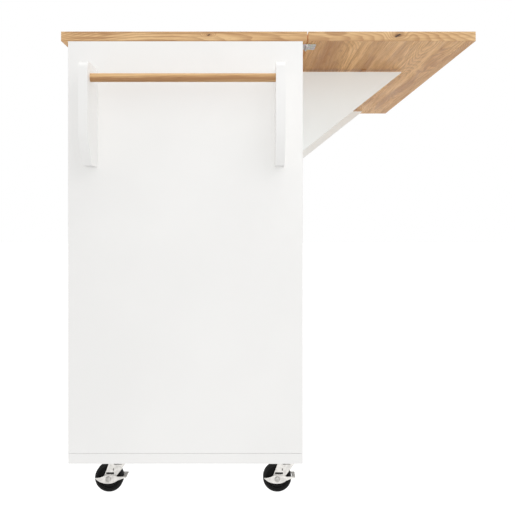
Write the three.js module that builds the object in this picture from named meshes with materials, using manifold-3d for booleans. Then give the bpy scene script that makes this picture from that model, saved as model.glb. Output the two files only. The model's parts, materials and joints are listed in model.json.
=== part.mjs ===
// Rolling kitchen island cart: a two-drawer, two-door cabinet on four casters, with an
// oak worktop, a raised drop leaf on two swing-out supports, and a towel rail on one end.
// Millimetres, +Z up. +X points from the doors to the drop leaf, +Y away from the towel rail.
// The origin is on the floor, below the middle of the cart's overall box.

import * as THREE from 'three';
import { mergeVertices } from 'three/addons/utils/BufferGeometryUtils.js';
import Module from 'manifold-3d';

const wasm = await Module();
wasm.setup();

// ---------- driving dimensions ----------
const CABINET_LENGTH = 1000;
const CABINET_DEPTH = 453;
const BOARD = 15;
const JOINT_GAP = 0.3;
const REVEAL = 2.5;

const CASTER_HEIGHT = 74;
const BASE_THICKNESS = 20;
const PANEL_HEIGHT = 795.5;
const TOP_THICKNESS = 18.5;
const TOP_FRONT_OVERHANG = 13.5;
const TOP_REAR_OVERHANG = 8.5;
const LEAF_GAP = 2;
const LEAF_WIDTH = 323;

const BACK_RECESS = 14;
const BACK_THICKNESS = 12;
const DRAWER_SPACE = 150;
const SHELF_HEIGHT = 400;

const KNOB_REACH = 25;
const KNOB_RADIUS = 15;

const BRACKET_THICKNESS = 17;
const BRACKET_REACH = 88;
const BRACKET_HEIGHT = 188;
const BRACKET_FRONT_INSET = 40;
const BRACKET_REAR_INSET = 37;
const RAIL_RADIUS = 8;

const SUPPORT_THICKNESS = 15;
const SUPPORT_REACH = 244.5;
const SUPPORT_POSITIONS = { near: 278.5, far: 914 };

const WHEEL_RADIUS = 28.4;
const WHEEL_WIDTH = 18;
const SWIVEL_OFFSET = 18;
const CASTER_END_INSET = 63;
const CASTER_FRONT_INSET = 86.5;
const CASTER_REAR_INSET = 29.8;

// ---------- levels and faces worked out from them ----------
const BASE_TOP = CASTER_HEIGHT + BASE_THICKNESS;
const PANEL_TOP = BASE_TOP + PANEL_HEIGHT;
const TOP_SURFACE = PANEL_TOP + TOP_THICKNESS;
const DECK_TOP = PANEL_TOP - DRAWER_SPACE;
const DECK_BOTTOM = DECK_TOP - BOARD;
const FRONT_SPLIT = DECK_TOP - BOARD / 2;
const BACK_OUTER = CABINET_DEPTH - BACK_RECESS;
const BACK_INNER = BACK_OUTER - BACK_THICKNESS;
const CARCASS_FRONT = BOARD + 2;
const MIDDLE = CABINET_LENGTH / 2;
const TOP_REAR = CABINET_DEPTH + TOP_REAR_OVERHANG;
const LEAF_START = TOP_REAR + LEAF_GAP;
const LEAF_END = LEAF_START + LEAF_WIDTH;

// ---------- finishes ----------
function finish(color, roughness, metalness) {
  return new THREE.MeshStandardMaterial({ color, roughness, metalness });
}
const whitePaint = () => finish(0xf1f0ee, 0.45, 0);
const oak = () => finish(0xd3ac7f, 0.5, 0);
const zincSteel = () => finish(0xa9abad, 0.4, 0.9);
const paleSteel = () => finish(0xd8d5d0, 0.35, 0.8);
const blackTyre = () => finish(0x1c1c1c, 0.6, 0);
const nickel = () => finish(0xb9b6b0, 0.3, 0.9);

// ---------- solid helpers ----------
function toSolid(geometry) {
  const bare = geometry.index ? geometry.toNonIndexed() : geometry.clone();
  bare.deleteAttribute('normal');
  bare.deleteAttribute('uv');
  const merged = mergeVertices(bare, 1e-4);
  const vertProperties = new Float32Array(merged.attributes.position.array);
  const triVerts = new Uint32Array(merged.index.array);
  return new wasm.Manifold(new wasm.Mesh({ numProp: 3, vertProperties, triVerts }));
}

function toGeometry(solid) {
  const mesh = solid.getMesh();
  const geometry = new THREE.BufferGeometry();
  geometry.setAttribute('position', new THREE.BufferAttribute(mesh.vertProperties, 3));
  geometry.setIndex(new THREE.BufferAttribute(mesh.triVerts, 1));
  return geometry;
}

function union(...geometries) {
  return toGeometry(geometries.map(toSolid).reduce((a, b) => a.add(b)));
}

function cut(geometry, ...tools) {
  return toGeometry(tools.map(toSolid).reduce((solid, tool) => solid.subtract(tool), toSolid(geometry)));
}

// A box between two corners.
function block(x0, x1, y0, y1, z0, z1) {
  const geometry = new THREE.BoxGeometry(x1 - x0, y1 - y0, z1 - z0);
  geometry.translate((x0 + x1) / 2, (y0 + y1) / 2, (z0 + z1) / 2);
  return geometry;
}

// A round bar of a radius along X, Y or Z, from one coordinate to another.
function rod(axis, radius, from, to, sides = 24) {
  const geometry = new THREE.CylinderGeometry(radius, radius, to - from, sides);
  geometry.translate(0, (from + to) / 2, 0);
  if (axis === 'x') geometry.rotateZ(-Math.PI / 2);
  if (axis === 'z') geometry.rotateX(Math.PI / 2);
  return geometry;
}

// A flat outline drawn in X and Z, given thickness along Y from y0 to y1.
function slabXZ(shape, y0, y1, curveSegments = 8) {
  const options = { depth: y1 - y0, bevelEnabled: false, curveSegments };
  const geometry = new THREE.ExtrudeGeometry(shape, options);
  geometry.rotateX(Math.PI / 2);
  geometry.translate(0, y1, 0);
  return geometry;
}

// A flat outline drawn in Y and Z, given thickness along X from x0 to x1.
function slabYZ(shape, x0, x1, curveSegments = 8) {
  const options = { depth: x1 - x0, bevelEnabled: false, curveSegments };
  const geometry = new THREE.ExtrudeGeometry(shape, options);
  geometry.rotateX(Math.PI / 2);
  geometry.rotateZ(Math.PI / 2);
  geometry.translate(x0, 0, 0);
  return geometry;
}

const cart = new THREE.Group();

function place(name, geometry, material, x = 0, y = 0, z = 0, turnZ = 0) {
  const mesh = new THREE.Mesh(geometry, material);
  mesh.name = name;
  mesh.position.set(x, y, z);
  mesh.rotation.z = turnZ;
  cart.add(mesh);
  return mesh;
}

// ---------- carcass ----------
function addCarcass() {
  const inside0 = BOARD + JOINT_GAP;
  const inside1 = CABINET_LENGTH - BOARD - JOINT_GAP;
  const panelBottom = BASE_TOP + JOINT_GAP;
  const panelTop = PANEL_TOP - JOINT_GAP;
  const backFace = BACK_INNER - JOINT_GAP;

  place('base_board', block(0, CABINET_DEPTH, 0, CABINET_LENGTH, CASTER_HEIGHT, BASE_TOP), whitePaint());
  place('side_panel_near', block(0, CABINET_DEPTH, 0, BOARD, panelBottom, panelTop), whitePaint());
  const farPanel = block(0, CABINET_DEPTH, CABINET_LENGTH - BOARD, CABINET_LENGTH, panelBottom, panelTop);
  place('side_panel_far', farPanel, whitePaint());
  place('back_panel', block(BACK_INNER, BACK_OUTER, inside0, inside1, panelBottom, panelTop), whitePaint());
  const deck = block(CARCASS_FRONT, backFace, inside0, inside1, DECK_BOTTOM, DECK_TOP);
  place('drawer_deck', deck, whitePaint());
  const divider = block(
    CARCASS_FRONT, backFace, MIDDLE - BOARD / 2, MIDDLE + BOARD / 2, DECK_TOP + JOINT_GAP, panelTop,
  );
  place('drawer_divider', divider, whitePaint());
  const shelfFront = CARCASS_FRONT + 3;
  const shelf = block(shelfFront, backFace, inside0, inside1, SHELF_HEIGHT, SHELF_HEIGHT + BOARD);
  place('shelf', shelf, whitePaint());
}

// ---------- worktop and drop leaf ----------
function addTop() {
  const top = block(-TOP_FRONT_OVERHANG, TOP_REAR, 0, CABINET_LENGTH, PANEL_TOP, TOP_SURFACE);
  place('worktop', top, oak());
  const leaf = block(LEAF_START, LEAF_END, 0, CABINET_LENGTH, PANEL_TOP, TOP_SURFACE);
  place('drop_leaf', leaf, oak());
}

// ---------- butt hinges ----------
const KNUCKLE_CLEARANCE = 0.15;
const PIN_CLEARANCE = 0.15;

// The pin lies along Z through the origin. The fixed half carries the pin and the two end
// knuckles, and its plate runs to -X. The moving half carries the middle knuckle, and its
// plate runs to +X. Both plates lie on +Y, against the boards they are screwed to.
function hingeHalf(kind, size) {
  const { length, plateWidth, thickness, knuckle, pin, rise } = size;
  const third = length / 3;
  const clear = KNUCKLE_CLEARANCE;
  const side = kind === 'fixed' ? -1 : 1;
  const plateFace = rise - JOINT_GAP;
  const spans = kind === 'fixed' ? [[0, third - clear], [2 * third + clear, length]]
    : [[third + clear, 2 * third - clear]];
  const pieces = spans.map(([z0, z1]) => rod('z', knuckle, z0, z1, 16));
  const inner = knuckle + 0.5;
  const plateX = [side * inner, side * plateWidth].sort((a, b) => a - b);
  pieces.push(block(plateX[0], plateX[1], plateFace - thickness, plateFace, 0, length));
  for (const [z0, z1] of spans) {
    const web = [0, side * (inner + 0.5)].sort((a, b) => a - b);
    pieces.push(block(web[0], web[1], plateFace - thickness, plateFace, z0, z1));
  }
  if (kind === 'fixed') {
    pieces.push(rod('z', pin, 0.5, length - 0.5, 12));
    return union(...pieces);
  }
  return cut(union(...pieces), rod('z', pin + PIN_CLEARANCE, -1, length + 1, 12));
}

const LEAF_HINGE = { length: 43, plateWidth: 18, thickness: 1.5, knuckle: 2.2, pin: 1.1, rise: 2.5 };
const LEAF_HINGE_STARTS = { near: 24, middle: MIDDLE - 21.5, far: CABINET_LENGTH - 67 };
const LEAF_PIN_X = TOP_REAR + LEAF_GAP / 2;
const LEAF_PIN_Z = PANEL_TOP - LEAF_HINGE.rise;

function addLeafHinges() {
  for (const [where, start] of Object.entries(LEAF_HINGE_STARTS)) {
    for (const kind of ['fixed', 'moving']) {
      const half = hingeHalf(kind, LEAF_HINGE);
      half.rotateX(Math.PI / 2);
      half.translate(0, LEAF_HINGE.length, 0);
      place(`leaf_hinge_${where}_${kind}`, half, zincSteel(), LEAF_PIN_X, start, LEAF_PIN_Z);
    }
  }
}

// ---------- swing-out supports ----------
const SUPPORT_TOP = PANEL_TOP - 5.2;
const SUPPORT_ROOT = BACK_OUTER + 1;
const SUPPORT_TIP = CABINET_DEPTH + SUPPORT_REACH;
const SUPPORT_SLOPE = 0.793;
const SUPPORT_HINGE = { length: 120, plateWidth: 24, thickness: 1.5, knuckle: 2.2, pin: 1.1, rise: 2.5 };
const SUPPORT_PIN_X = BACK_OUTER + SUPPORT_HINGE.rise;
const PAD_RADIUS = 6;
const PAD_REACH = 170;

function supportBoard() {
  const nose = 1;
  const footBlunt = 6;
  const drop = (SUPPORT_TIP - SUPPORT_ROOT) * SUPPORT_SLOPE;
  const shape = new THREE.Shape();
  shape.moveTo(SUPPORT_ROOT, SUPPORT_TOP);
  shape.lineTo(SUPPORT_ROOT, SUPPORT_TOP - drop - nose);
  shape.lineTo(SUPPORT_ROOT + footBlunt, SUPPORT_TOP - drop - nose + footBlunt * SUPPORT_SLOPE);
  shape.lineTo(SUPPORT_TIP, SUPPORT_TOP - nose);
  shape.lineTo(SUPPORT_TIP, SUPPORT_TOP);
  const board = slabXZ(shape, 0, SUPPORT_THICKNESS);
  const pad = rod('z', PAD_RADIUS, SUPPORT_TOP - 1, PANEL_TOP - JOINT_GAP, 20);
  pad.translate(SUPPORT_PIN_X + PAD_REACH, SUPPORT_THICKNESS / 2, 0);
  return union(board, pad);
}

function addSupports() {
  const hingeBottom = SUPPORT_TOP - 155;
  for (const [where, y] of Object.entries(SUPPORT_POSITIONS)) {
    place(`swing_support_${where}`, supportBoard(), whitePaint(), 0, y, 0);
    const pinY = y - SUPPORT_HINGE.rise;
    const fixed = hingeHalf('fixed', SUPPORT_HINGE);
    fixed.rotateZ(Math.PI / 2);
    place(`support_hinge_${where}_fixed`, fixed, zincSteel(), SUPPORT_PIN_X, pinY, hingeBottom);
    const moving = hingeHalf('moving', SUPPORT_HINGE);
    place(`support_hinge_${where}_moving`, moving, zincSteel(), SUPPORT_PIN_X, pinY, hingeBottom);
  }
}

// ---------- towel rack ----------
const BRACKET_TOP = PANEL_TOP - 55.5;
const RAIL_Y = -62;
const RAIL_Z = BRACKET_TOP - 26.6;
const RAIL_SEAT = 8;

function towelBracket() {
  const kinkDrop = 135;
  const footReach = 50;
  const corner = 14;
  const shape = new THREE.Shape();
  shape.moveTo(-JOINT_GAP, BRACKET_TOP);
  shape.lineTo(-BRACKET_REACH + corner, BRACKET_TOP);
  shape.absarc(-BRACKET_REACH + corner, BRACKET_TOP - corner, corner, Math.PI / 2, Math.PI, false);
  shape.lineTo(-BRACKET_REACH, BRACKET_TOP - kinkDrop);
  shape.lineTo(-footReach, BRACKET_TOP - BRACKET_HEIGHT);
  shape.lineTo(-JOINT_GAP, BRACKET_TOP - BRACKET_HEIGHT);
  return slabYZ(shape, 0, BRACKET_THICKNESS);
}

function railSocket(x0, x1) {
  const socket = rod('x', RAIL_RADIUS + JOINT_GAP, x0, x1);
  socket.translate(0, RAIL_Y, RAIL_Z);
  return socket;
}

function addTowelRack() {
  const frontX = BRACKET_FRONT_INSET;
  const rearX = CABINET_DEPTH - BRACKET_REAR_INSET - BRACKET_THICKNESS;
  const seatStart = BRACKET_THICKNESS - RAIL_SEAT;
  const front = cut(towelBracket(), railSocket(seatStart, BRACKET_THICKNESS + 1));
  place('towel_bracket_front', front, whitePaint(), frontX);
  place('towel_bracket_rear', cut(towelBracket(), railSocket(-1, RAIL_SEAT)), whitePaint(), rearX);
  const rail = rod('x', RAIL_RADIUS, frontX + seatStart + JOINT_GAP, rearX + RAIL_SEAT - JOINT_GAP, 32);
  rail.translate(0, RAIL_Y, RAIL_Z);
  place('towel_rail', rail, oak());
}

// ---------- knobs ----------
function knob() {
  const profile = [
    [0, 0], [7.5, 0], [5, 3], [5, 12], [13.5, 18], [KNOB_RADIUS, 21], [12, KNOB_REACH - 0.8],
    [0, KNOB_REACH],
  ].map(([radius, along]) => new THREE.Vector2(radius, along));
  const geometry = new THREE.LatheGeometry(profile, 20);
  geometry.rotateZ(Math.PI / 2);
  return geometry;
}

// ---------- drawers ----------
const FRONT_FACE = JOINT_GAP;
const FRONT_BACK = FRONT_FACE + BOARD;
const DRAWER_WALL = 12;
const DRAWER_SIDE_GAP = 3;
const DRAWER_LENGTH = 390;
const DRAWER_BOTTOM = DECK_TOP + 6;
const DRAWER_TOP = PANEL_TOP - 24;
const GROOVE_DEPTH = 7;
const GROOVE_HEIGHT = 14;
const GROOVE_BOTTOM = DRAWER_BOTTOM + 50;
const DRAWER_STOP_GAP = 6;

function drawerBox(y0, y1) {
  const floor = 6;
  const x0 = FRONT_BACK + JOINT_GAP;
  const x1 = x0 + DRAWER_LENGTH;
  const outer = block(x0, x1, y0, y1, DRAWER_BOTTOM, DRAWER_TOP);
  const hollow = block(
    x0 + DRAWER_WALL, x1 - DRAWER_WALL, y0 + DRAWER_WALL, y1 - DRAWER_WALL,
    DRAWER_BOTTOM + floor, DRAWER_TOP + 1,
  );
  const grooveX0 = x0 + DRAWER_STOP_GAP;
  const grooveTop = GROOVE_BOTTOM + GROOVE_HEIGHT;
  const nearGroove = block(grooveX0, x1 + 1, y0 - 1, y0 + GROOVE_DEPTH, GROOVE_BOTTOM, grooveTop);
  const farGroove = block(grooveX0, x1 + 1, y1 - GROOVE_DEPTH, y1 + 1, GROOVE_BOTTOM, grooveTop);
  return cut(outer, hollow, nearGroove, farGroove);
}

function runner(wallY, boxY) {
  const inward = Math.sign(boxY - wallY);
  const play = 0.5;
  const ends = [wallY + inward * JOINT_GAP, boxY + inward * (GROOVE_DEPTH - play)].sort((a, b) => a - b);
  const x0 = FRONT_BACK + DRAWER_STOP_GAP + 4;
  const x1 = BACK_INNER - 12;
  return block(x0, x1, ends[0], ends[1], GROOVE_BOTTOM + play, GROOVE_BOTTOM + GROOVE_HEIGHT - play);
}

function addDrawers() {
  const bays = {
    near: [BOARD, MIDDLE - BOARD / 2],
    far: [MIDDLE + BOARD / 2, CABINET_LENGTH - BOARD],
  };
  const frontSpans = {
    near: [BOARD + REVEAL, MIDDLE - REVEAL / 2],
    far: [MIDDLE + REVEAL / 2, CABINET_LENGTH - BOARD - REVEAL],
  };
  for (const [where, [wall0, wall1]] of Object.entries(bays)) {
    const y0 = wall0 + DRAWER_SIDE_GAP;
    const y1 = wall1 - DRAWER_SIDE_GAP;
    const [front0, front1] = frontSpans[where];
    const frontBottom = FRONT_SPLIT + REVEAL / 2;
    const frontTop = PANEL_TOP - REVEAL;
    place(`drawer_box_${where}`, drawerBox(y0, y1), whitePaint());
    const front = block(FRONT_FACE, FRONT_BACK, front0, front1, frontBottom, frontTop);
    place(`drawer_front_${where}`, front, whitePaint());
    const knobZ = (frontBottom + frontTop) / 2;
    place(`drawer_knob_${where}`, knob(), nickel(), 0, (front0 + front1) / 2, knobZ);
    place(`drawer_runner_${where}_1`, runner(wall0, y0), nickel());
    place(`drawer_runner_${where}_2`, runner(wall1, y1), nickel());
  }
}

// ---------- doors ----------
const DOOR_HINGE = { length: 50, plateWidth: 26, thickness: 0.9, knuckle: 1.8, pin: 0.9, rise: 1.25 };
const DOOR_PIN_X = -1.9;
const DOOR_BOTTOM = BASE_TOP + REVEAL;
const DOOR_TOP = FRONT_SPLIT - REVEAL / 2;
const DOOR_HINGE_INSET = 80;

// Both plates of a door hinge lie in the narrow gap beside the door, one on each wall of it.
function doorHingeHalf(kind, towardDoor) {
  const half = hingeHalf(kind, DOOR_HINGE);
  half.rotateZ(kind === 'fixed' ? Math.PI : 0);
  if (towardDoor < 0) {
    half.rotateX(Math.PI);
    half.translate(0, 0, DOOR_HINGE.length);
  }
  return half;
}

function addDoors() {
  const sides = {
    near: { hingeEdge: BOARD + REVEAL, freeEdge: MIDDLE - REVEAL / 2, towardDoor: 1 },
    far: { hingeEdge: CABINET_LENGTH - BOARD - REVEAL, freeEdge: MIDDLE + REVEAL / 2, towardDoor: -1 },
  };
  for (const [where, { hingeEdge, freeEdge, towardDoor }] of Object.entries(sides)) {
    const [y0, y1] = [hingeEdge, freeEdge].sort((a, b) => a - b);
    place(`door_${where}`, block(FRONT_FACE, FRONT_BACK, y0, y1, DOOR_BOTTOM, DOOR_TOP), whitePaint());
    const knobInset = 45;
    place(`door_knob_${where}`, knob(), nickel(), 0, freeEdge - towardDoor * knobInset, DOOR_TOP - 90);
    const pinY = hingeEdge - towardDoor * REVEAL / 2;
    const starts = {
      lower: DOOR_BOTTOM + DOOR_HINGE_INSET,
      upper: DOOR_TOP - DOOR_HINGE_INSET - DOOR_HINGE.length,
    };
    for (const [level, start] of Object.entries(starts)) {
      for (const kind of ['fixed', 'moving']) {
        const half = doorHingeHalf(kind, towardDoor);
        place(`door_hinge_${where}_${level}_${kind}`, half, nickel(), DOOR_PIN_X, pinY, start);
      }
    }
  }
}

// ---------- casters ----------
// Each caster is drawn with its swivel axis at X = 0, Y = 0, and its wheel trailing to -X.
// The sizes of the fork and brake sheets are measured from the axle.
const AXLE_X = -SWIVEL_OFFSET;
const AXLE_Z = WHEEL_RADIUS;
const AXLE_RADIUS = 4;
const AXLE_OVERHANG = 2.2;
const BORE_CLEARANCE = 0.3;
const KINGPIN_RADIUS = 4;
const RIVET_RADIUS = 6.5;
const RIVET_DROP = 2.4;
const RACEWAY_RADIUS = 17;
const PLATE_HALF_X = 25;
const PLATE_HALF_Y = 21;
const PLATE_BOTTOM = CASTER_HEIGHT - 2.5;
const CROWN_TOP = 66;
const CROWN_BOTTOM = CROWN_TOP - 2.5;
const CROWN_SPAN = [3.4, 35];
const EYE_RADIUS = 9.8;
const CHEEK_INNER = 12;
const CHEEK_OUTER = 14;
const BRAKE_INNER = CHEEK_OUTER + JOINT_GAP;
const BRAKE_OUTER = BRAKE_INNER + 1.7;
const PEDAL_SPAN = [29.4, 36];
const PEDAL_LEVELS = [2.2, 4.8];

function casterPlate() {
  const flange = block(
    -PLATE_HALF_X, PLATE_HALF_X, -PLATE_HALF_Y, PLATE_HALF_Y, PLATE_BOTTOM, CASTER_HEIGHT - JOINT_GAP,
  );
  const raceway = rod('z', RACEWAY_RADIUS, CROWN_TOP + JOINT_GAP, PLATE_BOTTOM + 0.5, 28);
  const kingpin = rod('z', KINGPIN_RADIUS, CROWN_BOTTOM - RIVET_DROP, CROWN_TOP + 1, 16);
  const rivet = rod('z', RIVET_RADIUS, CROWN_BOTTOM - RIVET_DROP, CROWN_BOTTOM - JOINT_GAP, 16);
  return union(flange, raceway, kingpin, rivet);
}

// One side of the fork, from the crown down and back to the eye round the axle.
function forkCheekShape() {
  const shape = new THREE.Shape();
  shape.moveTo(AXLE_X + CROWN_SPAN[0], CROWN_TOP);
  shape.lineTo(AXLE_X - 9, AXLE_Z + 3.3);
  shape.absarc(AXLE_X, AXLE_Z, EYE_RADIUS, Math.PI - 0.35, Math.PI * 2, false);
  shape.lineTo(AXLE_X + 15.4, AXLE_Z + 5);
  shape.lineTo(AXLE_X + 27, AXLE_Z + 20);
  shape.lineTo(AXLE_X + CROWN_SPAN[1], AXLE_Z + 31.5);
  shape.lineTo(AXLE_X + CROWN_SPAN[1], CROWN_TOP);
  return shape;
}

function casterFork(hasBrake) {
  const [crownStart, crownEnd] = CROWN_SPAN.map((x) => AXLE_X + x);
  const crown = block(crownStart, crownEnd, -CHEEK_OUTER, CHEEK_OUTER, CROWN_BOTTOM, CROWN_TOP);
  const cheeks = [-1, 1].map((side) => {
    const [y0, y1] = [side * CHEEK_INNER, side * CHEEK_OUTER].sort((a, b) => a - b);
    return slabXZ(forkCheekShape(), y0, y1);
  });
  const axleEnd = (hasBrake ? BRAKE_OUTER : CHEEK_OUTER) + AXLE_OVERHANG;
  const axle = rod('y', AXLE_RADIUS, -axleEnd, axleEnd, 20);
  axle.translate(AXLE_X, 0, AXLE_Z);
  const kingpinHole = rod('z', KINGPIN_RADIUS + BORE_CLEARANCE, CROWN_BOTTOM - 1, CROWN_TOP + 1, 16);
  return cut(union(crown, ...cheeks, axle), kingpinHole);
}

function casterWheel() {
  const half = WHEEL_WIDTH / 2;
  const hubHalf = CHEEK_INNER - 0.6;
  const hub = 8.5;
  const dish = 20;
  const rim = 21.5;
  const bore = AXLE_RADIUS + BORE_CLEARANCE;
  const tread = WHEEL_RADIUS;
  const profile = [
    [bore, -hubHalf], [hub, -hubHalf], [hub, -half + 2], [dish, -half + 2], [rim, -half],
    [tread - 2.5, -half], [tread, -half + 3.5], [tread, half - 3.5], [tread - 2.5, half],
    [rim, half], [dish, half - 2], [hub, half - 2], [hub, hubHalf], [bore, hubHalf],
    [bore, -hubHalf],
  ].map(([radius, along]) => new THREE.Vector2(radius, along));
  const wheel = new THREE.LatheGeometry(profile, 36);
  wheel.translate(AXLE_X, 0, AXLE_Z);
  return wheel;
}

// The brake is a stamped yoke that turns on the axle: a crescent cheek on each side of the
// fork, each with an arm, joined by the flat pedal ahead of the wheel.
function brakeCheekShape() {
  const shape = new THREE.Shape();
  shape.moveTo(AXLE_X - 27, AXLE_Z + 2);
  shape.quadraticCurveTo(AXLE_X - 17, AXLE_Z - 9, AXLE_X - 1, AXLE_Z - 9.2);
  shape.quadraticCurveTo(AXLE_X + 11, AXLE_Z - 9, AXLE_X + 18, AXLE_Z - 3);
  shape.lineTo(AXLE_X + PEDAL_SPAN[0], AXLE_Z + PEDAL_LEVELS[0] - 1);
  shape.lineTo(AXLE_X + PEDAL_SPAN[1], AXLE_Z + PEDAL_LEVELS[0]);
  shape.lineTo(AXLE_X + PEDAL_SPAN[1], AXLE_Z + PEDAL_LEVELS[1]);
  shape.lineTo(AXLE_X + 18.5, AXLE_Z + PEDAL_LEVELS[1]);
  shape.lineTo(AXLE_X + 12.5, AXLE_Z + 7.6);
  shape.lineTo(AXLE_X - 6.5, AXLE_Z + 7.6);
  shape.lineTo(AXLE_X - 11.5, AXLE_Z + 4.6);
  shape.lineTo(AXLE_X - 18, AXLE_Z + 2.6);
  return shape;
}

function casterBrake() {
  const cheeks = [-1, 1].map((side) => {
    const [y0, y1] = [side * BRAKE_INNER, side * BRAKE_OUTER].sort((a, b) => a - b);
    return slabXZ(brakeCheekShape(), y0, y1, 6);
  });
  const [pedalStart, pedalEnd] = PEDAL_SPAN.map((x) => AXLE_X + x);
  const [pedalBottom, pedalTop] = PEDAL_LEVELS.map((z) => AXLE_Z + z);
  const pedal = block(pedalStart, pedalEnd, -BRAKE_OUTER, BRAKE_OUTER, pedalBottom, pedalTop);
  const axleHole = rod('y', AXLE_RADIUS + BORE_CLEARANCE, -BRAKE_OUTER - 1, BRAKE_OUTER + 1, 20);
  axleHole.translate(AXLE_X, 0, AXLE_Z);
  return cut(union(...cheeks, pedal), axleHole);
}

function addCasters() {
  const columns = { front: CASTER_FRONT_INSET, rear: CABINET_DEPTH - CASTER_REAR_INSET };
  const rows = { near: CASTER_END_INSET, far: CABINET_LENGTH - CASTER_END_INSET };
  for (const [end, y] of Object.entries(rows)) {
    for (const [side, x] of Object.entries(columns)) {
      const name = `${side}_${end}`;
      const hasBrake = end === 'near';
      place(`caster_plate_${name}`, casterPlate(), zincSteel(), x, y);
      place(`caster_fork_${name}`, casterFork(hasBrake), paleSteel(), x, y);
      place(`caster_wheel_${name}`, casterWheel(), blackTyre(), x, y);
      if (hasBrake) place(`caster_brake_${name}`, casterBrake(), paleSteel(), x, y);
    }
  }
}

addCarcass();
addTop();
addLeafHinges();
addSupports();
addTowelRack();
addDrawers();
addDoors();
addCasters();

// The knobs, the leaf and the towel brackets reach furthest, so they set the middle.
cart.position.set(-(LEAF_END - KNOB_REACH) / 2, -(CABINET_LENGTH - BRACKET_REACH) / 2, 0);

export default cart;
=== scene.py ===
"""Looks of the kitchen island cart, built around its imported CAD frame.

Metres, +Z up. +X points from the doors to the drop leaf, and +Y away from the towel rail.
Places and sizes come from the frame's boxes. MM turns the small drawing sizes into metres.
"""

import json
import math

import bmesh
import bpy
from mathutils import Matrix, Vector


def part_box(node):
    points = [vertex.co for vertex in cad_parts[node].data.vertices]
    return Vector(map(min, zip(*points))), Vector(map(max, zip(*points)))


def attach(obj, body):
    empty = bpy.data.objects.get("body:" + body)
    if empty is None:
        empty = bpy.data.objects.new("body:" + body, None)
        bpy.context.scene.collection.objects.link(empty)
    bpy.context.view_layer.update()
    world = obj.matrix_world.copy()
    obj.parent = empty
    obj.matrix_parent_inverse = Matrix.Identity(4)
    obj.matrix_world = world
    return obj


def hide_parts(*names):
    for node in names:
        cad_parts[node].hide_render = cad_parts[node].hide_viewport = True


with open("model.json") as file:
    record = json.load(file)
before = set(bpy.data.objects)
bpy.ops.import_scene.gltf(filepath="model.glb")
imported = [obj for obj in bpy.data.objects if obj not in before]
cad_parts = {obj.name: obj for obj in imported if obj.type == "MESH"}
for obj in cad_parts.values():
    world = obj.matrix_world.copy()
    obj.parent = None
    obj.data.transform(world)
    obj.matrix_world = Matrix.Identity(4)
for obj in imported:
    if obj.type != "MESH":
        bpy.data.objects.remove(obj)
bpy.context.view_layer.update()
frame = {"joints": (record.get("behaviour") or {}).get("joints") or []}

MM = 0.001
X, Y, Z = 0, 1, 2
TINY = 1e-6  # metres: closer than this counts as touching
BROKEN_EDGE = 0.25 * MM  # an edge that is only just broken
ENDS = ("near", "far")
CASTERS = [(side, end) for end in ENDS for side in ("front", "rear")]


# ------------------------ shader helpers
class Shader:
    """A material whose nodes are added one line at a time."""

    def __init__(self, name, **surface):
        self.material = bpy.data.materials.new(name)
        self.material.use_nodes = True
        self.tree = self.material.node_tree
        self.surface = self.tree.nodes["Principled BSDF"]
        self.set(**surface)

    def feed(self, socket, value):
        if isinstance(value, bpy.types.NodeSocket):
            self.tree.links.new(value, socket)
        else:
            socket.default_value = value

    def node(self, kind, settings=None, **inputs):
        node = self.tree.nodes.new("ShaderNode" + kind)
        for key, value in (settings or {}).items():
            setattr(node, key, value)
        for key, value in inputs.items():
            self.feed(node.inputs[key.replace("_", " ")], value)
        return node

    def math(self, operation, *values):
        node = self.tree.nodes.new("ShaderNodeMath")
        node.operation = operation
        for socket, value in zip(node.inputs, values):
            self.feed(socket, value)
        return node.outputs[0]

    def place(self, scale=(1, 1, 1), location=(0, 0, 0), source=None):
        """The object's own coordinates, stretched."""
        if source is None:
            source = self.node("TexCoord").outputs["Object"]
        return self.node("Mapping", Vector=source, Scale=scale, Location=location).outputs[0]

    def noise(self, vector, scale, detail=2.0, roughness=0.5, distortion=0.0):
        node = self.node("TexNoise", Vector=vector, Scale=scale, Detail=detail, Roughness=roughness)
        node.inputs["Distortion"].default_value = distortion
        return node.outputs["Fac"]

    def span(self, value, low, high, to_low=0.0, to_high=1.0):
        node = self.node("MapRange", {"interpolation_type": "SMOOTHSTEP"}, Value=value)
        for socket, number in zip(("From Min", "From Max", "To Min", "To Max"), (low, high, to_low, to_high)):
            node.inputs[socket].default_value = number
        return node.outputs[0]

    def mix(self, factor, first, second, mode="MIX"):
        node = self.node("Mix", {"data_type": "RGBA", "blend_type": mode})
        self.feed(node.inputs[0], factor)
        self.feed(node.inputs[6], first)
        self.feed(node.inputs[7], second)
        return node.outputs[2]

    def distance(self, x, y):
        """How far the point (x, y) lies from the origin."""
        offset = self.node("CombineXYZ", X=x, Y=y).outputs[0]
        return self.node("VectorMath", {"operation": "LENGTH"}, Vector=offset).outputs["Value"]

    def bump(self, height, distance, strength):
        return self.node("Bump", Height=height, Distance=distance, Strength=strength).outputs[0]

    def set(self, **surface):
        for socket, value in surface.items():
            self.feed(self.surface.inputs[socket.replace("_", " ")], value)
        return self.material


def rgb(red, green, blue):
    return (red, green, blue, 1.0)


def toned(colour, factor, lift=0.0):
    """A colour made darker or lighter by a factor."""
    return rgb(*(channel * factor + lift for channel in colour[:3]))


# ------------------------ materials
def painted_board(name, tint):
    """Satin white paint on board: a faint roller texture and slight unevenness."""
    s = Shader(name, Coat_Weight=0.12, Coat_Roughness=0.25)
    coords = s.place()
    cloud = s.noise(coords, 3.5, 3)
    soft = s.noise(coords, 60, 2)
    peel = s.noise(coords, 1400, 2)
    colour = s.mix(s.span(cloud, 0.3, 0.7), tint, toned(tint, 0.965))
    rough = s.span(soft, 0.3, 0.7, 0.36, 0.46)
    return s.set(Base_Color=colour, Roughness=rough, Normal=s.bump(peel, 0.02 * MM, 0.35))


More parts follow.
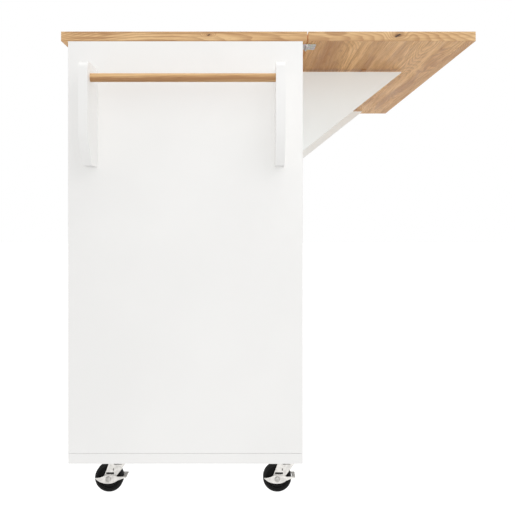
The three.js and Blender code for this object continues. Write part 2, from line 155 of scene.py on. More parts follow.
# The oak's own colours, from the pale early wood to the knots.
OAK_PALE = rgb(0.80, 0.56, 0.315)
OAK_MID = rgb(0.655, 0.415, 0.215)
OAK_BROWN = rgb(0.40, 0.212, 0.102)
OAK_DARK = rgb(0.21, 0.105, 0.05)
OAK_SPOT = rgb(0.045, 0.035, 0.03)


def oak(name, swap, plank=None, knots=(), pale=(), brown=(), seed=0.0, stain=(1, 1, 1), start=0.0):
    """Rustic flat-sawn oak. swap picks which object axes run across, along and into the grain.

    plank is the width of one stave, and start is where one begins. knots are (across, along,
    radius), and the pale and brown marks are (across, along, half width, half length), all in
    metres. Besides streaks in the wood, pale marks can be a painted highlight and brown marks
    painted shade. seed shifts the grain along, and stain tints all of it.
    """
    s = Shader(name, Specular_IOR_Level=0.18)
    palette = (OAK_PALE, OAK_MID, OAK_BROWN, OAK_DARK)
    light, mid, brown_wood, dark = (rgb(*(c * t for c, t in zip(tone, stain))) for tone in palette)
    axes = s.node("SeparateXYZ", Vector=s.node("TexCoord").outputs["Object"])
    across, along, into = (axes.outputs[axis] for axis in swap)
    shifted, tone = s.math("ADD", along, seed), 0.5
    if plank:
        stave = s.math("FLOOR", s.math("DIVIDE", s.math("SUBTRACT", across, start), plank))
        tone = s.node("TexWhiteNoise", {"noise_dimensions": "1D"}, W=stave).outputs["Value"]
        shifted = s.math("ADD", shifted, s.math("MULTIPLY", tone, 7.0))
    coords = s.node("CombineXYZ", X=across, Y=shifted, Z=into).outputs[0]

    # Growth rings are the contour lines of a slow field, pushed aside around each knot.
    slow = s.noise(s.place((9, 1.2, 9), source=coords), 1.0, 1.5, 0.45)
    ragged = s.noise(s.place((40, 6, 40), source=coords), 1.0, 3, 0.6)
    field = s.math("MULTIPLY_ADD", across, 3.6, s.math("MULTIPLY", slow, 1.25))
    field = s.math("MULTIPLY_ADD", ragged, 0.035, field)
    halo, core, spot = 0.0, 0.0, 0.0
    for knot_across, knot_along, knot_radius in knots:
        aside = s.math("SUBTRACT", across, knot_across)
        ahead = s.math("SUBTRACT", along, knot_along)
        away = s.distance(aside, s.math("MULTIPLY", ahead, 0.5))
        away = s.math("MULTIPLY_ADD", s.math("SUBTRACT", ragged, 0.5), knot_radius * 1.2, away)
        field = s.math("ADD", field, s.span(away, knot_radius * 4, 0.0, 0.0, 0.07))
        halo = s.math("MAXIMUM", halo, s.span(away, knot_radius * 2.6, knot_radius * 0.6))
        core = s.math("MAXIMUM", core, s.span(away, knot_radius * 0.95, knot_radius * 0.35))
        slit = s.math("ADD", s.math("MULTIPLY", aside, 0.9), s.math("MULTIPLY", ahead, -0.55))
        lens = s.math("MAXIMUM", s.math("ABSOLUTE", slit), s.math("MULTIPLY", away, 0.42))
        spot = s.math("MAXIMUM", spot, s.span(lens, knot_radius * 0.46, knot_radius * 0.3))
    phase = s.math("FRACT", s.math("MULTIPLY", field, 52))
    late_wood = s.math("MULTIPLY", s.span(phase, 0.3, 0.9), s.span(phase, 1.0, 0.93))

    patch = s.noise(s.place((13, 2.4, 13), source=coords), 1.0, 5, 0.62, 0.6)
    streak = s.noise(s.place((75, 3.5, 75), source=coords), 1.0, 5, 0.7)
    fibre = s.noise(s.place((420, 10, 420), source=coords), 1.0, 4, 0.6)
    pores = s.noise(s.place((1300, 45, 1300), source=coords), 1.0, 2)

    def along_grain(marks, edge):
        """How far a point lies inside the nearest of some long marks with ragged sides."""
        total = 0.0
        for mark_across, mark_along, half_width, half_length in marks:
            drift = s.math("MULTIPLY", s.math("SUBTRACT", slow, 0.5), half_width * 7)
            aside = s.math("ADD", s.math("SUBTRACT", across, mark_across), drift)
            ahead = s.math("SUBTRACT", along, mark_along)
            away = s.distance(s.math("DIVIDE", aside, half_width), s.math("DIVIDE", ahead, half_length))
            away = s.math("MULTIPLY_ADD", s.math("SUBTRACT", streak, 0.5), edge, away)
            total = s.math("MAXIMUM", total, s.span(away, 1.15, 0.5))
        return total

    colour = s.mix(s.span(patch, 0.36, 0.62), light, mid)
    colour = s.mix(s.math("MULTIPLY", late_wood, s.span(patch, 0.25, 0.65, 0.3, 0.72)), colour, brown_wood)
    colour = s.mix(s.span(patch, 0.58, 0.8, 0.0, 0.75), colour, brown_wood)
    colour = s.mix(s.span(streak, 0.5, 0.72, 0.0, 0.7), colour, brown_wood)
    colour = s.mix(s.span(streak, 0.46, 0.28, 0.0, 0.6), colour, light)
    if plank:
        colour = s.mix(s.span(tone, 0.0, 1.0, 0.0, 0.3), colour, brown_wood)
    # Besides wood streaks, the pale marks here can paint a highlight and the brown marks paint shade.
    if pale:
        colour = s.mix(s.math("MULTIPLY", along_grain(pale, 2.2), 0.72), colour, light)
    if brown:
        colour = s.mix(s.math("MULTIPLY", along_grain(brown, 3.2), 0.7), colour, brown_wood)
    colour = s.mix(s.span(fibre, 0.45, 0.7, 0.0, 0.5), colour, brown_wood)
    if knots:
        colour = s.mix(s.math("MULTIPLY", halo, 0.55), colour, brown_wood)
        colour = s.mix(s.math("MULTIPLY", core, 0.75), colour, dark)
        colour = s.mix(s.math("MULTIPLY", spot, 0.9), colour, OAK_SPOT)
    colour = s.mix(s.span(pores, 0.6, 0.72, 0.0, 0.42), colour, dark)
    rough = s.span(fibre, 0.3, 0.75, 0.42, 0.62)
    height = s.math("SUBTRACT", s.math("MULTIPLY", fibre, 0.5), s.span(pores, 0.58, 0.72))
    return s.set(Base_Color=colour, Roughness=rough, Normal=s.bump(height, 0.06 * MM, 0.5))


def plated_steel(name, base, rough, spangle=0.0):
    """Plated sheet steel: fine drawn lines, a mottled plating and small tone changes."""
    s = Shader(name, Metallic=1.0)
    coords = s.place()
    drawn = s.noise(s.place((700, 700, 30)), 1.0, 3)
    mottle = s.noise(coords, 180, 3, 0.6)
    colour = s.mix(s.span(mottle, 0.3, 0.72), base, toned(base, 0.8))
    if spangle:
        flakes = s.node("TexVoronoi", Vector=coords, Scale=420).outputs["Color"]
        colour = s.mix(spangle, colour, flakes, "SOFT_LIGHT")
    roughness = s.span(s.math("ADD", drawn, mottle), 0.7, 1.3, rough * 0.8, rough * 1.25)
    return s.set(Base_Color=colour, Roughness=roughness, Normal=s.bump(drawn, 0.01 * MM, 0.4))


def moulded_black(name, base, rough, scuff):
    """Moulded black plastic or rubber, with dust and scuffs where it touches the floor."""
    s = Shader(name, Specular_IOR_Level=0.12)
    coords = s.place()
    grain = s.noise(coords, 2600, 2)
    dust = s.noise(coords, 150, 4, 0.65)
    colour = s.mix(s.span(dust, 0.5, 0.78, 0.0, scuff), base, toned(base, 2.5, 0.006))
    roughness = s.span(dust, 0.3, 0.75, rough, min(rough + 0.2, 1.0))
    return s.set(Base_Color=colour, Roughness=roughness, Normal=s.bump(grain, 0.03 * MM, 0.4))


def moulded_plastic(name, base, rough):
    """Plain moulded plastic with a fine spark-eroded grain."""
    s = Shader(name)
    coords = s.place()
    grain = s.noise(coords, 1800, 2)
    tone = s.noise(coords, 40, 2)
    colour = s.mix(s.span(tone, 0.35, 0.7), base, toned(base, 0.93))
    roughness = s.span(grain, 0.3, 0.7, rough - 0.05, rough + 0.08)
    return s.set(Base_Color=colour, Roughness=roughness, Normal=s.bump(grain, 0.02 * MM, 0.4))


def felt(name, base):
    """Pressed felt: short matted fibres."""
    s = Shader(name, Roughness=0.95, Sheen_Weight=0.4)
    coords = s.place()
    fibres = s.noise(coords, 1500, 4, 0.7, 1.5)
    colour = s.mix(s.span(fibres, 0.35, 0.65), base, toned(base, 0.6))
    return s.set(Base_Color=colour, Normal=s.bump(fibres, 0.3 * MM, 0.8))


PAINT = painted_board("white_paint", rgb(0.80, 0.795, 0.782))
PAINT_RACK = painted_board("white_paint_rack", rgb(0.81, 0.805, 0.792))
# The swing supports' paint is a brighter, cooler copy of the white paint: painted light on their faces.
PAINT_SUPPORT_LIT = painted_board("white_paint_support_lit", rgb(0.81, 0.845, 0.842))
ZINC = plated_steel("zinc_plate", rgb(0.52, 0.51, 0.49), 0.38, spangle=0.45)
CASTER_STEEL = plated_steel("caster_steel", rgb(0.60, 0.585, 0.56), 0.44)
NICKEL = plated_steel("satin_nickel", rgb(0.56, 0.54, 0.505), 0.27)
BOLT_STEEL = plated_steel("bolt_steel", rgb(0.45, 0.44, 0.42), 0.5)
SCREW_STEEL = plated_steel("screw_steel", rgb(0.50, 0.50, 0.49), 0.3)
TYRE = moulded_black("tyre_black", rgb(0.011, 0.011, 0.011), 0.55, 0.5)
HUB = moulded_black("hub_black", rgb(0.004, 0.004, 0.004), 0.5, 0.2)
RUNNER = moulded_plastic("runner_plastic", rgb(0.72, 0.71, 0.68), 0.42)
FELT = felt("brown_felt", rgb(0.62, 0.36, 0.19))


# ------------------------ mesh helpers
def new_object(name, data):
    made = bpy.data.objects.new(name, data)
    bpy.context.scene.collection.objects.link(made)
    return made


def object_from(name, bm):
    """An object with a bmesh's shape. The bmesh is freed."""
    mesh = bpy.data.meshes.new(name)
    bm.to_mesh(mesh)
    bm.free()
    return new_object(name, mesh)


def finish_piece(name, bm, materials, body, nodes=(), smooth_angle=40):
    """Turns a bmesh into a named piece that rides on a body and stands for CAD nodes."""
    bmesh.ops.recalc_face_normals(bm, faces=bm.faces)
    piece = object_from(name, bm)
    mesh = piece.data
    for material in materials if isinstance(materials, (list, tuple)) else [materials]:
        mesh.materials.append(material)
    for polygon in mesh.polygons:
        polygon.use_smooth = True
    mesh.set_sharp_from_angle(angle=math.radians(smooth_angle))
    weighted = piece.modifiers.new("even_shading", "WEIGHTED_NORMAL")
    weighted.keep_sharp = True
    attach(piece, body)
    if nodes:
        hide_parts(*nodes)
    return piece


def bevel_edges(bm, edges, width, segments=2):
    edges = list(edges)
    if edges:
        bmesh.ops.bevel(
            bm, geom=edges, offset=width, segments=segments, profile=0.5, affect="EDGES", clamp_overlap=True
        )


def sharp_edges(bm, degrees=30):
    limit = math.radians(degrees)
    return [e for e in bm.edges if len(e.link_faces) == 2 and e.calc_face_angle(0) > limit]


def add_box(bm, low, high):
    low, high = Vector(low), Vector(high)
    place = Matrix.Translation((low + high) / 2) @ Matrix.Diagonal((*(high - low), 1.0))
    return bmesh.ops.create_cube(bm, size=1.0, matrix=place)["verts"]


def add_prism(bm, outline, axis, start, end):
    """Extrudes an outline of (a, b) points along an axis. Along Y they are (x, z), along X
    (y, z), and along Z (x, y)."""
    def point(pair, depth):
        a, b = pair
        return {X: (depth, a, b), Y: (a, depth, b), Z: (a, b, depth)}[axis]

    rings = [[bm.verts.new(point(pair, depth)) for pair in outline] for depth in (start, end)]
    for ring in rings:
        bm.faces.new(ring)
    for i in range(len(outline)):
        j = (i + 1) % len(outline)
        bm.faces.new((rings[0][i], rings[0][j], rings[1][j], rings[1][i]))


def arc(centre, radius, start, end, steps):
    """Points on an arc, from one angle in degrees to another."""
    points = []
    for i in range(steps + 1):
        angle = math.radians(start + (end - start) * i / steps)
        points.append((centre[0] + radius * math.cos(angle), centre[1] + radius * math.sin(angle)))
    return points


def add_lathe(bm, profile, place, steps=48):
    """Turns (radius, height) points about the Z axis, and sets the result at a matrix. A
    profile that ends where it starts makes a ring."""
    is_ring = profile[0] == profile[-1]
    rings = []
    for radius, height in profile[:-1] if is_ring else profile:
        if radius < TINY:
            rings.append([bm.verts.new(place @ Vector((0, 0, height)))])
            continue
        ring = []
        for i in range(steps):
            angle = 2 * math.pi * i / steps
            spot = Vector((radius * math.cos(angle), radius * math.sin(angle), height))
            ring.append(bm.verts.new(place @ spot))
        rings.append(ring)
    if is_ring:
        rings.append(rings[0])
    for lower, upper in zip(rings, rings[1:]):
        for i in range(steps):
            j = (i + 1) % steps
            corners = ((lower, i), (lower, j), (upper, j), (upper, i))
            unique = list(dict.fromkeys(ring[k % len(ring)] for ring, k in corners))
            if len(unique) > 2:
                bm.faces.new(unique)


def turned(axis, spot):
    """A matrix that lays a lathe's Z axis along X, Y or Z (or back along them) at a spot."""
    turn = {
        "+x": Matrix.Rotation(math.pi / 2, 4, "Y"),
        "-x": Matrix.Rotation(-math.pi / 2, 4, "Y"),
        "+y": Matrix.Rotation(-math.pi / 2, 4, "X"),
        "-y": Matrix.Rotation(math.pi / 2, 4, "X"),
        "+z": Matrix.Identity(4),
        "-z": Matrix.Rotation(math.pi, 4, "X"),
    }[axis]
    return Matrix.Translation(Vector(spot)) @ turn


def carve(piece, cutters):
    """Cuts closed shapes out of a piece for good."""
    for cutter in cutters:
        change = piece.modifiers.new("carve", "BOOLEAN")
        change.operation = "DIFFERENCE"
        change.solver = "EXACT"
        change.object = cutter
    bpy.context.view_layer.update()
    graph = bpy.context.evaluated_depsgraph_get()
    cuts = [m for m in piece.modifiers if m.type != "WEIGHTED_NORMAL"]
    for other in piece.modifiers:
        if other.type == "WEIGHTED_NORMAL":
            other.show_viewport = False
    graph.update()
    carved = bpy.data.meshes.new_from_object(piece.evaluated_get(graph), depsgraph=graph)
    for cut in cuts:
        piece.modifiers.remove(cut)
    piece.data = carved
    for polygon in carved.polygons:
        polygon.use_smooth = True
    carved.set_sharp_from_angle(angle=math.radians(40))
    for other in piece.modifiers:
        other.show_viewport = True
    for cutter in cutters:
        bpy.data.objects.remove(cutter)


def loose_object(bm):
    """Turns a bmesh into an object that is used for carving and then removed."""
    bmesh.ops.recalc_face_normals(bm, faces=bm.faces)
    return object_from("cutter", bm)


def round_cutter(radius, start, end, place, steps=24):
    bm = bmesh.new()
    add_lathe(bm, [(0, start), (radius, start), (radius, end), (0, end)], place, steps)
    return loose_object(bm)


def lathed(name, profile, place, steps, material, body, nodes=(), smooth_angle=40):
    """A piece turned about one axis."""
    bm = bmesh.new()
    add_lathe(bm, profile, place, steps)
    return finish_piece(name, bm, material, body, nodes, smooth_angle)


HEAD_HEIGHT = 0.55  # of a screw head's radius


def screw_head(name, axis, spot, radius, body):
    """A pan head with a cross recess. axis points out of the surface it sits on."""
    place = turned(axis, spot)
    height = radius * HEAD_HEIGHT
    profile = [(0, 0), (radius, 0), (radius, height * 0.35), (radius * 0.8, height * 0.8),
               (radius * 0.42, height), (0, height)]
    head = lathed(name, profile, place, 24, SCREW_STEEL, body)
    cross = bmesh.new()
    arm, width, depth = radius * 0.55, radius * 0.13, height * 0.5
    quarter = [(arm, -width), (arm, width), (width, width)]
    outline = []
    for turn in range(4):
        spin = Matrix.Rotation(math.pi / 2 * turn, 2)
        outline += [tuple(spin @ Vector(corner)) for corner in quarter]
    add_prism(cross, outline, Z, height - depth, height * 1.2)
    bmesh.ops.transform(cross, matrix=place, verts=cross.verts)
    carve(head, [loose_object(cross)])


# ------------------------ boards
def white_box(name, low, high, round_over, segments, body, nodes=()):
    """A painted box, bevelled on every edge unless round_over is 0."""
    bm = bmesh.new()
    add_box(bm, low, high)
    if round_over:
        bevel_edges(bm, bm.edges[:], round_over, segments)
    return finish_piece(name, bm, PAINT, body, nodes)


def board(name, node, body, materials, round_over=0.9 * MM, crisp=None, edge_axes=()):
    """A bevelled board the size of its CAD node. crisp is "top" or "bottom", where the edges
    are only just broken. Faces square to edge_axes take the second material."""
    low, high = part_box(node)
    bm = bmesh.new()
    add_box(bm, low, high)
    level = {"top": high.z, "bottom": low.z}.get(crisp)

    def at_level(edge):
        return level is not None and all(abs(v.co.z - level) < TINY for v in edge.verts)

    bevel_edges(bm, [e for e in bm.edges if not at_level(e)], round_over, 3)
    bevel_edges(bm, [e for e in sharp_edges(bm, 60) if at_level(e)], BROKEN_EDGE, 2)
    bm.normal_update()
    for face in bm.faces:
        for axis in edge_axes:
            if abs(face.normal[axis]) > 0.5:
                face.material_index = 1
    return finish_piece(name, bm, materials, body, [node])


def add_carcass():
    board("base_board_board", "base_board", "cabinet", PAINT, 1.6 * MM, "bottom")
    for node in ("side_panel_near", "side_panel_far"):
        board(node + "_board", node, "cabinet", PAINT, 0.5 * MM, "top")
    for node in ("back_panel", "drawer_deck", "drawer_divider", "shelf"):
        board(node + "_board", node, "cabinet", PAINT)


def add_top():
    low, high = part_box("worktop")
    leaf_low, leaf_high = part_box("drop_leaf")
    middle = (low.z + high.z) / 2
    knots = [
        (middle + 1.5 * MM, leaf_low.x + 0.535 * (leaf_high.x - leaf_low.x), 3.9 * MM),
        (middle + 2.5 * MM, low.x + 0.60 * (high.x - low.x), 2.2 * MM),
    ]
    brown = [
        (high.z - 4 * MM, low.x + 55 * MM, 2.6 * MM, 60 * MM),
        (low.z + 4 * MM, low.x + 50 * MM, 2.2 * MM, 45 * MM),
        (middle - 1 * MM, low.x + 88 * MM, 5 * MM, 20 * MM),
        (middle + 3 * MM, low.x + 45 * MM, 0.9 * MM, 40 * MM),
        (middle - 4 * MM, low.x + 70 * MM, 0.8 * MM, 55 * MM),
        (middle + 5.5 * MM, low.x + 95 * MM, 0.7 * MM, 35 * MM),
        (middle - 2 * MM, low.x + 190 * MM, 0.7 * MM, 45 * MM),
        (high.z - 4 * MM, low.x + 125 * MM, 2 * MM, 18 * MM),
        (middle + 2 * MM, leaf_low.x + 52 * MM, 7 * MM, 16 * MM),
        # A thin dark line along the whole lower edge of the end band: painted shade at that edge.
        (low.z + 0.3 * MM, (low.x + leaf_high.x) / 2, 0.8 * MM, 2000 * MM),
    ]
    band = oak("oak_end_band", (Z, X, Y), None, knots, (), brown, 3.1, (0.97, 0.965, 0.91))
    reach = leaf_high.x - leaf_low.x
    seam = leaf_low.x + 0.325 * reach
    pale = [(seam + 8 * MM, low.y + 90 * MM, 9 * MM, 280 * MM),
            (leaf_low.x + 0.57 * reach, low.y + 60 * MM, 7 * MM, 160 * MM),
            (leaf_low.x + 0.82 * reach, low.y + 330 * MM, 7 * MM, 420 * MM)]
    dark = [(leaf_low.x + 0.16 * reach, low.y + 200 * MM, 22 * MM, 400 * MM),
            (leaf_low.x + 0.45 * reach, low.y + 270 * MM, 12 * MM, 150 * MM),
            # This wide mark is painted shade that darkens the leaf's underside towards its far end.
            (leaf_low.x + 0.62 * reach, low.y + 800 * MM, 34 * MM, 330 * MM),
            (leaf_low.x + 0.86 * reach, low.y + 560 * MM, 12 * MM, 300 * MM)]
    face = oak("oak_face", (X, Y, Z), 0.1, (), pale, dark, 0.0, (1.10, 0.95, 0.70), seam)
    board("worktop_board", "worktop", "cabinet", [face, band], 0.4 * MM, edge_axes=(Y,))
    board("drop_leaf_board", "drop_leaf", "leaf", [face, band], 0.4 * MM, edge_axes=(Y,))


# ------------------------ towel rack
def add_towel_rack():
    kink_drop, foot_reach, corner = 135 * MM, 50 * MM, 14 * MM
    socket_depth, overrun, play = 8 * MM, 2 * MM, 0.15 * MM
    rail_low, rail_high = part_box("towel_rail")
    middle = (rail_low + rail_high) / 2
    radius, length = (rail_high.z - rail_low.z) / 2, rail_high.x - rail_low.x
    for side in ("front", "rear"):
        node = f"towel_bracket_{side}"
        low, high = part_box(node)
        outline = [(high.y, high.z)]
        outline += arc((low.y + corner, high.z - corner), corner, 90, 180, 10)
        outline += [(low.y, high.z - kink_drop), (high.y - foot_reach, low.z), (high.y, low.z)]
        bm = bmesh.new()
        add_prism(bm, outline, X, low.x, high.x)
        bevel_edges(bm, sharp_edges(bm, 35), 1.6 * MM, 3)
        bracket = finish_piece(node + "_board", bm, PAINT_RACK, "cabinet", [node], 30)
        start = high.x - socket_depth if side == "front" else low.x - overrun
        place = turned("+x", (start, middle.y, middle.z))
        carve(bracket, [round_cutter(radius + play, 0, socket_depth + overrun, place, 48)])

    place = turned("+x", (rail_low.x, middle.y, middle.z))
    chamfer = 1 * MM
    profile = [(0, 0), (radius - chamfer, 0), (radius, chamfer), (radius, length - chamfer),
               (radius - chamfer, length), (0, length)]
    # The rod's lighter upper stripe is a painted highlight and its darker lower stripe is painted shade.
    painted_highlight = [(middle.z + 0.62 * radius, middle.x, 0.62 * radius, length)]
    shade = [(middle.z - 0.6 * radius, middle.x, 0.5 * radius, length)]
    rod_oak = oak("oak_rod", (Z, X, Y), None, (), painted_highlight, shade, 5.3, (0.86, 0.81, 0.73))
    lathed("towel_rail_rod", profile, place, 64, rod_oak, "cabinet", ["towel_rail"], 50)


# ------------------------ hinges
KNUCKLE_GAP = 0.15 * MM
PLATE_GAP = 0.5 * MM  # between a plate and its knuckles
HINGE_SCREW = 2.6 * MM  # the radius of a screw's head
SCREWED_WIDTH, SCREWED_RISE = 15 * MM, 1.5 * MM  # plates under these have no room for screws
LONG_HINGE = 80 * MM  # from here on there are three screws
BORE_SHARE, PIN_SHARE, PIN_INSET = 0.5, 0.48, 0.2 * MM  # shares of the knuckle's radius
HALVES = ("fixed", "moving")
OUT_OF_FACE = {(1, 0, 0): "-x", (-1, 0, 0): "+x", (0, 1, 0): "-y",
               (0, -1, 0): "+y", (0, 0, 1): "-z", (0, 0, -1): "+z"}


def corners_of(first, second):
    """The low and high corners of the box that has two given corners."""
    pairs = list(zip(first, second))
    return Vector(min(pair) for pair in pairs), Vector(max(pair) for pair in pairs)


def butt_hinge(name, spot, axis, length, plates, knuckle, bodies, nodes, material, knuckles=5):
    """A butt hinge: two plates with rolled knuckles, a flat-ended pin, and screws.

    axis is the pin's axis. plates gives, for the fixed and the moving half, the direction the
    plate runs in from the pin, the direction of its mounting face, the plate's width, its
    thickness, and how far the mounting face lies from the pin's centre.
    """
    along = Vector((axis == X, axis == Y, axis == Z))
    spot = Vector(spot)
    pin_axis = {X: "+x", Y: "+y", Z: "+z"}[axis]
    step = length / knuckles
    for half, (run, face, width, thickness, rise) in enumerate(plates):
        outward = OUT_OF_FACE[face]
        run, face = Vector(run), Vector(face)
        label, body = f"{name}_{HALVES[half]}", bodies[half]
        inner_side = face * (rise - thickness)
        seats = []
        if width > SCREWED_WIDTH and rise > SCREWED_RISE:
            count = 2 if length < LONG_HINGE else 3
            for i in range(count):
                across = run * (knuckle + (width - knuckle) * (0.58 if i % 2 else 0.48))
                seats.append(spot + across + along * (length * (i + 0.5) / count) + inner_side)
        blank = bmesh.new()
        start = run * (knuckle + PLATE_GAP)
        far_corner = spot + run * width + face * rise + along * length
        add_box(blank, *corners_of(spot + start + inner_side, far_corner))
        plate = loose_object(blank)
        if seats:
            carve(plate, [round_cutter(HINGE_SCREW * 1.1, -thickness - MM, MM, turned(outward, seat))
                          for seat in seats])
        bm = bmesh.new()
        bm.from_mesh(plate.data)
        bpy.data.objects.remove(plate)
        for i in range(half, knuckles, 2):
            begin = spot + along * (i * step + (KNUCKLE_GAP if i else 0))
            reach = step - (KNUCKLE_GAP if i else 0) - (KNUCKLE_GAP if i < knuckles - 1 else 0)
            bore = knuckle * BORE_SHARE
            profile = [(bore, 0), (knuckle, 0), (knuckle, reach), (bore, reach), (bore, 0)]
            add_lathe(bm, profile, turned(pin_axis, begin), 24)
            web_end = begin + run * (knuckle + MM) + face * rise + along * reach
            add_box(bm, *corners_of(begin + inner_side, web_end))
        long_edges = [e for e in sharp_edges(bm, 60) if e.calc_length() > width * 0.6]
        bevel_edges(bm, long_edges, BROKEN_EDGE, 1)
        finish_piece(f"{label}_leaf", bm, material, body, [nodes[half]])
        sunk = face * (HINGE_SCREW * HEAD_HEIGHT + 0.05 * MM)
        for i, seat in enumerate(seats):
            screw_head(f"{label}_screw_{i + 1}", outward, seat + sunk, HINGE_SCREW, body)
    pin, top = knuckle * PIN_SHARE, length - PIN_INSET
    profile = [(0, PIN_INSET), (pin, PIN_INSET), (pin, top), (0, top)]
    lathed(f"{name}_pin", profile, turned(pin_axis, spot), 20, SCREW_STEEL, bodies[0])


def pin_of(joint_name):
    joint = next(j for j in frame["joints"] if j["name"] == joint_name)
    return Vector(joint["pos_m"])


def add_leaf_hinges():
    pin = pin_of("leaf_hinge")
    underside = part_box("worktop")[0].z
    for where in ("near", "middle", "far"):
        nodes = [f"leaf_hinge_{where}_{half}" for half in HALVES]
        low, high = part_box(nodes[0])
        rise = underside - pin.z - 0.3 * MM
        width = pin.x - low.x
        knuckle = pin.z - low.z
        plates = [((-1, 0, 0), (0, 0, 1), width, 1.5 * MM, rise),
                  ((1, 0, 0), (0, 0, 1), width, 1.5 * MM, rise)]
        butt_hinge(f"leaf_hinge_{where}", (pin.x, low.y, pin.z), Y, high.y - low.y, plates, knuckle,
                   ("cabinet", "leaf"), nodes, ZINC)


def add_support_hinges():
    for where in ENDS:
        pin = pin_of(f"support_{where}_swing")
        nodes = [f"support_hinge_{where}_{half}" for half in HALVES]
        low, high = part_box(nodes[0])
        moving_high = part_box(nodes[1])[1]
        width = pin.y - low.y
        rise = pin.x - low.x
        plates = [((0, -1, 0), (-1, 0, 0), width, 1.5 * MM, rise),
                  ((1, 0, 0), (0, 1, 0), moving_high.x - pin.x, 1.5 * MM, rise)]
        butt_hinge(f"support_hinge_{where}", (pin.x, pin.y, low.z), Z, high.z - low.z, plates, rise,
                   ("cabinet", f"support_{where}"), nodes, ZINC, 9)


def add_door_hinges():
    for where, away in (("near", 1), ("far", -1)):
        pin = pin_of(f"door_{where}_hinge")
        for level in ("lower", "upper"):
            nodes = [f"door_hinge_{where}_{level}_{half}" for half in HALVES]
            low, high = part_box(nodes[0])
            knuckle = pin.x - low.x
            width = high.x - pin.x
            plates = [((1, 0, 0), (0, -away, 0), width, 0.9 * MM, 0.95 * MM),
                      ((1, 0, 0), (0, away, 0), width, 0.9 * MM, 0.95 * MM)]
            butt_hinge(f"door_hinge_{where}_{level}", (pin.x, pin.y, low.z), Z, high.z - low.z, plates,
                       knuckle, ("cabinet", f"door_{where}"), nodes, NICKEL)


# ------------------------ swing-out supports
def add_supports():
    nose, foot_blunt = 1 * MM, 6 * MM
    pad_height, pad_radius, pad_reach = 4.9 * MM, 6 * MM, 170 * MM
    for where in ENDS:
        node, body = f"swing_support_{where}", f"support_{where}"
        low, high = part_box(node)
        top = high.z - pad_height
        slope = (top - nose - low.z) / (high.x - low.x)
        outline = [
            (low.x, top), (low.x, low.z), (low.x + foot_blunt, low.z + foot_blunt * slope),
            (high.x, top - nose), (high.x, top),
        ]
        bm = bmesh.new()
        add_prism(bm, outline, Y, low.y, high.y)
        upper = [e for e in sharp_edges(bm, 20) if min(v.co.z for v in e.verts) > top - 1.5 * MM]
        bevel_edges(bm, [e for e in sharp_edges(bm, 20) if e not in upper], 1.2 * MM, 3)
        finish_piece(node + "_board", bm, PAINT_SUPPORT_LIT, body, [node], 30)
        pin = pin_of(f"support_{where}_swing")
        spot = (pin.x + pad_reach, (low.y + high.y) / 2, top)
        edge = 0.6 * MM
        profile = [(0, 0), (pad_radius, 0), (pad_radius, pad_height - edge),
                   (pad_radius - edge, pad_height), (0, pad_height)]
        lathed(node + "_pad", profile, turned("+z", spot), 32, FELT, body)


# ------------------------ knobs
def knob(name, node, body):
    low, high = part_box(node)
    reach, radius = high.x - low.x, (high.z - low.z) / 2
    r, h = radius / 15, reach / 25
    stem = [(0, 0), (7.4, 0), (7.4, 1.0), (6.2, 2.2), (5.2, 4.5), (4.9, 8.0), (5.2, 11.0), (7.2, 13.6)]
    head = [(11.2, 15.8), (14.0, 18.2), (15.0, 20.6), (14.6, 22.4), (13.0, 23.9), (12.2, 24.2), (11.6, 24.0),
            (10.8, 24.1), (6.0, 24.8), (0, 25.0)]
    profile = [(a * r, b * h) for a, b in stem + head]
    centre = (high.x, (low.y + high.y) / 2, (low.z + high.z) / 2)
    lathed(name, profile, turned("-x", centre), 56, NICKEL, body, [node], 60)


# ------------------------ drawers
def add_drawers():
    wall, floor = 12 * MM, 6 * MM
    groove_depth, groove_height, groove_rise = 7 * MM, 14 * MM, 50 * MM
    inset, round_over = wall + 0.1 * MM, 0.7 * MM
    for where in ENDS:
        body, node = f"drawer_{where}", f"drawer_box_{where}"
        low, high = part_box(node)
        for side, y0, y1, groove0, groove1 in (
            ("side_1", low.y, low.y + wall, low.y - MM, low.y + groove_depth),
            ("side_2", high.y - wall, high.y, high.y - groove_depth, high.y + MM),
        ):
            piece = white_box(f"{node}_{side}", (low.x, y0, low.z), (high.x, y1, high.z),
                              round_over, 2, body, [node])
            groove = bmesh.new()
            z0 = low.z + groove_rise
            add_box(groove, (low.x + 6 * MM, groove0, z0), (high.x + MM, groove1, z0 + groove_height))
            carve(piece, [loose_object(groove)])
        for end, x0, x1 in (("front", low.x, low.x + wall), ("back", high.x - wall, high.x)):
            white_box(f"{node}_{end}", (x0, low.y + inset, low.z), (x1, high.y - inset, high.z),
                      round_over, 2, body)
        white_box(f"{node}_floor", (low.x + wall, low.y + wall, low.z + 1 * MM),
                  (high.x - wall, high.y - wall, low.z + floor), 0, 0, body)
        board(f"drawer_front_{where}_board", f"drawer_front_{where}", body, PAINT, 1.4 * MM)
        knob(f"drawer_knob_{where}_turned", f"drawer_knob_{where}", body)
        for i in (1, 2):
            runner = f"drawer_runner_{where}_{i}"
            board(runner + "_rail", runner, "cabinet", RUNNER, 1.2 * MM)
            add_runner_screws(runner, low, high)


def add_runner_screws(runner, box_low, box_high):
    low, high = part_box(runner)
    on_left = low.y < (box_low.y + box_high.y) / 2
    sunk = 1.4 * MM
    level, axis = (high.y - sunk, "+y") if on_left else (low.y + sunk, "-y")
    for i, share in enumerate((0.08, 0.5, 0.92)):
        spot = (low.x + share * (high.x - low.x), level, (low.z + high.z) / 2)
        screw_head(f"{runner}_screw_{i + 1}", axis, spot, 2.6 * MM, "cabinet")


